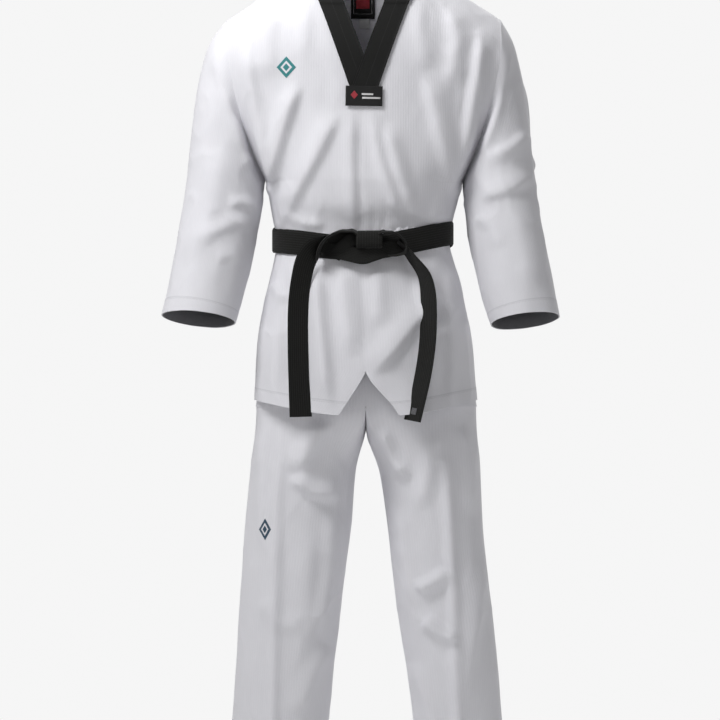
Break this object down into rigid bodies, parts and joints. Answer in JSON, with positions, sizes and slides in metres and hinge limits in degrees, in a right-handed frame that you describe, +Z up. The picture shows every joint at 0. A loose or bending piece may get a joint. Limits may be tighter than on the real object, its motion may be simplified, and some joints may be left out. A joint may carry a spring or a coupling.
{
  "type": "martial arts uniform",
  "caption": "White martial arts uniform worn by nobody: V-neck pullover jacket with a black collar, tied black belt and loose trousers.",
  "frame": {"origin": "midway between the two points where the shoulders meet the neck", "axes": "+Z up along the wearer's spine, -Y out of the wearer's chest, +X towards the wearer's left hand"},
  "size_m": [0.694, 0.3073, 1.5625],
  "materials": {
    "cloth_white": "fine ribbed polyester and cotton weave",
    "collar_black": "twill band with rows of stitching",
    "belt_black": "cotton twill with rows of stitching",
    "label_black": "satin woven label",
    "label_white": "satin woven label",
    "thread_teal": "embroidery thread",
    "thread_navy": "embroidery thread",
    "thread_grey": "embroidery thread",
    "elastic_white": "knitted elastic"
  },
  "bodies": {
    "jacket": {"jacket_front_left": "cloth_white", "jacket_front_right": "cloth_white", "jacket_back_left": "cloth_white", "jacket_back_right": "cloth_white", "collar_left": "collar_black", "collar_right": "collar_black", "collar_back": "collar_black", "collar_patch": "label_black", "chest_emblem": "thread_teal", "neck_label": "label_black", "size_label": "label_white", "belt_inner_wrap": "belt_black", "belt_outer_wrap": "belt_black", "knot_core": "belt_black", "knot_right_fold": "belt_black", "knot_left_fold": "belt_black"},
    "left_sleeve": {"left_sleeve_front": "cloth_white", "left_sleeve_back": "cloth_white", "left_cuff_facing": "cloth_white"},
    "right_sleeve": {"right_sleeve_front": "cloth_white", "right_sleeve_back": "cloth_white", "right_cuff_facing": "cloth_white"},
    "left_belt_end": {"left_belt_tail": "belt_black", "belt_end_mark": "thread_grey"},
    "right_belt_end": {"right_belt_tail": "belt_black"},
    "trousers": {"waistband_casing": "cloth_white", "waist_elastic": "elastic_white", "hip_front_left": "cloth_white", "hip_front_right": "cloth_white", "hip_back_left": "cloth_white", "hip_back_right": "cloth_white", "crotch_gusset": "cloth_white"},
    "left_leg": {"left_leg_front": "cloth_white", "left_leg_back": "cloth_white", "left_ankle_facing": "cloth_white"},
    "right_leg": {"right_leg_front": "cloth_white", "right_leg_back": "cloth_white", "right_ankle_facing": "cloth_white", "leg_emblem": "thread_navy"}
  },
  "joints": [
    {"name": "left_sleeve_lift", "type": "hinge", "parent": "jacket", "child": "left_sleeve", "pos_m": [0.24, 0, -0.105], "axis": [0, -1, 0], "range_deg": [0, 60]},
    {"name": "right_sleeve_lift", "type": "hinge", "parent": "jacket", "child": "right_sleeve", "pos_m": [-0.24, 0, -0.105], "axis": [0, 1, 0], "range_deg": [0, 60]},
    {"name": "left_belt_end_swing", "type": "hinge", "parent": "jacket", "child": "left_belt_end", "pos_m": [0.082, -0.1333, -0.52], "axis": [-1, 0, 0], "range_deg": [0, 75]},
    {"name": "right_belt_end_swing", "type": "hinge", "parent": "jacket", "child": "right_belt_end", "pos_m": [-0.098, -0.1333, -0.52], "axis": [-1, 0, 0], "range_deg": [0, 75]},
    {"name": "trousers_slide", "type": "slide", "parent": "jacket", "child": "trousers", "axis": [0, 0, -1], "range_m": [0, 0.4]},
    {"name": "left_leg_swing", "type": "hinge", "parent": "trousers", "child": "left_leg", "pos_m": [0.1005, 0, -0.803], "axis": [-1, 0, 0], "range_deg": [-15, 35]},
    {"name": "right_leg_swing", "type": "hinge", "parent": "trousers", "child": "right_leg", "pos_m": [-0.097, 0, -0.803], "axis": [-1, 0, 0], "range_deg": [-15, 35]}
  ]
}
